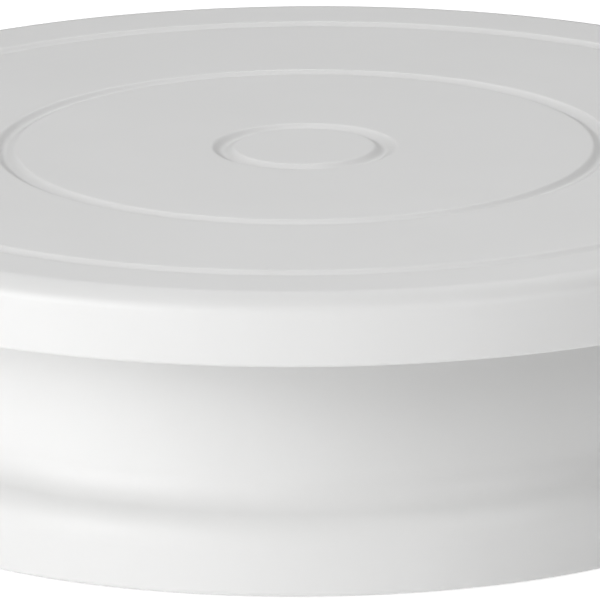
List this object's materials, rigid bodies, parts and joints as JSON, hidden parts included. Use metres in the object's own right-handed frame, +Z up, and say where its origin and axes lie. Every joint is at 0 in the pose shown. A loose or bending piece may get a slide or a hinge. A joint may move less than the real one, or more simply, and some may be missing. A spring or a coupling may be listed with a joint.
{
  "type": "lazy susan turntable",
  "caption": "Round white cake stand whose rimmed plate turns on a hidden ball bearing above a drum base with a flared foot.",
  "frame": {"origin": "on the floor under the middle of the stand, at the rubber feet's lowest face", "axes": "+Z up along the spindle; the stand is round, and +X points at the first rubber foot and the first bearing ball"},
  "size_m": [0.3048, 0.3048, 0.087],
  "materials": {
    "white_plastic": "moulded, satin",
    "zinc_steel": "pressed, zinc plated",
    "screw_steel": "zinc plated",
    "ground_steel": "turned and ground",
    "spring_steel": "blackened",
    "ball_steel": "polished",
    "brass": "turned",
    "natural_nylon": "moulded, natural",
    "foot_rubber": "matte"
  },
  "bodies": {
    "base": {"base_shell": "white_plastic", "lower_race": "zinc_steel", "lower_race_screws": "screw_steel", "pivot_bush": "natural_nylon", "base_cover": "white_plastic", "cover_screws": "screw_steel", "foot_1": "foot_rubber", "foot_2": "foot_rubber", "foot_3": "foot_rubber", "foot_4": "foot_rubber", "foot_5": "foot_rubber", "foot_6": "foot_rubber"},
    "turntable": {"top_plate": "white_plastic", "upper_race": "zinc_steel", "upper_race_screws": "screw_steel", "hub_insert": "brass", "spindle": "ground_steel", "spindle_washer": "zinc_steel", "spindle_circlip": "spring_steel"},
    "cage": {"ball_cage": "natural_nylon"},
    "ball_01": {"bearing_ball_01": "ball_steel"},
    "ball_02": {"bearing_ball_02": "ball_steel"},
    "ball_03": {"bearing_ball_03": "ball_steel"},
    "ball_04": {"bearing_ball_04": "ball_steel"},
    "ball_05": {"bearing_ball_05": "ball_steel"},
    "ball_06": {"bearing_ball_06": "ball_steel"},
    "ball_07": {"bearing_ball_07": "ball_steel"},
    "ball_08": {"bearing_ball_08": "ball_steel"},
    "ball_09": {"bearing_ball_09": "ball_steel"},
    "ball_10": {"bearing_ball_10": "ball_steel"},
    "ball_11": {"bearing_ball_11": "ball_steel"},
    "ball_12": {"bearing_ball_12": "ball_steel"}
  },
  "joints": [
    {"name": "turntable_spin", "type": "hinge", "parent": "base", "child": "turntable", "pos_m": [0, 0, 0.07], "axis": [0, 0, 1], "continuous": true},
    {"name": "cage_spin", "type": "hinge", "parent": "base", "child": "cage", "pos_m": [0, 0, 0.07758], "axis": [0, 0, 1], "continuous": true},
    {"name": "ball_01_roll", "type": "hinge", "parent": "cage", "child": "ball_01", "pos_m": [0.075, 0, 0.07758], "axis": [1, 0, 0], "continuous": true},
    {"name": "ball_02_roll", "type": "hinge", "parent": "cage", "child": "ball_02", "pos_m": [0.06495, 0.0375, 0.07758], "axis": [0.866, 0.5, 0], "continuous": true},
    {"name": "ball_03_roll", "type": "hinge", "parent": "cage", "child": "ball_03", "pos_m": [0.0375, 0.06495, 0.07758], "axis": [0.5, 0.866, 0], "continuous": true},
    {"name": "ball_04_roll", "type": "hinge", "parent": "cage", "child": "ball_04", "pos_m": [0, 0.075, 0.07758], "axis": [0, 1, 0], "continuous": true},
    {"name": "ball_05_roll", "type": "hinge", "parent": "cage", "child": "ball_05", "pos_m": [-0.0375, 0.06495, 0.07758], "axis": [-0.5, 0.866, 0], "continuous": true},
    {"name": "ball_06_roll", "type": "hinge", "parent": "cage", "child": "ball_06", "pos_m": [-0.06495, 0.0375, 0.07758], "axis": [-0.866, 0.5, 0], "continuous": true},
    {"name": "ball_07_roll", "type": "hinge", "parent": "cage", "child": "ball_07", "pos_m": [-0.075, 0, 0.07758], "axis": [-1, 0, 0], "continuous": true},
    {"name": "ball_08_roll", "type": "hinge", "parent": "cage", "child": "ball_08", "pos_m": [-0.06495, -0.0375, 0.07758], "axis": [-0.866, -0.5, 0], "continuous": true},
    {"name": "ball_09_roll", "type": "hinge", "parent": "cage", "child": "ball_09", "pos_m": [-0.0375, -0.06495, 0.07758], "axis": [-0.5, -0.866, 0], "continuous": true},
    {"name": "ball_10_roll", "type": "hinge", "parent": "cage", "child": "ball_10", "pos_m": [0, -0.075, 0.07758], "axis": [0, -1, 0], "continuous": true},
    {"name": "ball_11_roll", "type": "hinge", "parent": "cage", "child": "ball_11", "pos_m": [0.0375, -0.06495, 0.07758], "axis": [0.5, -0.866, 0], "continuous": true},
    {"name": "ball_12_roll", "type": "hinge", "parent": "cage", "child": "ball_12", "pos_m": [0.06495, -0.0375, 0.07758], "axis": [0.866, -0.5, 0], "continuous": true}
  ],
  "couplings": [
    {"joint": "cage_spin", "follows": "turntable_spin", "ratio": 0.5},
    {"joint": "ball_01_roll", "follows": "turntable_spin", "ratio": -9.375},
    {"joint": "ball_02_roll", "follows": "turntable_spin", "ratio": -9.375},
    {"joint": "ball_03_roll", "follows": "turntable_spin", "ratio": -9.375},
    {"joint": "ball_04_roll", "follows": "turntable_spin", "ratio": -9.375},
    {"joint": "ball_05_roll", "follows": "turntable_spin", "ratio": -9.375},
    {"joint": "ball_06_roll", "follows": "turntable_spin", "ratio": -9.375},
    {"joint": "ball_07_roll", "follows": "turntable_spin", "ratio": -9.375},
    {"joint": "ball_08_roll", "follows": "turntable_spin", "ratio": -9.375},
    {"joint": "ball_09_roll", "follows": "turntable_spin", "ratio": -9.375},
    {"joint": "ball_10_roll", "follows": "turntable_spin", "ratio": -9.375},
    {"joint": "ball_11_roll", "follows": "turntable_spin", "ratio": -9.375},
    {"joint": "ball_12_roll", "follows": "turntable_spin", "ratio": -9.375}
  ]
}
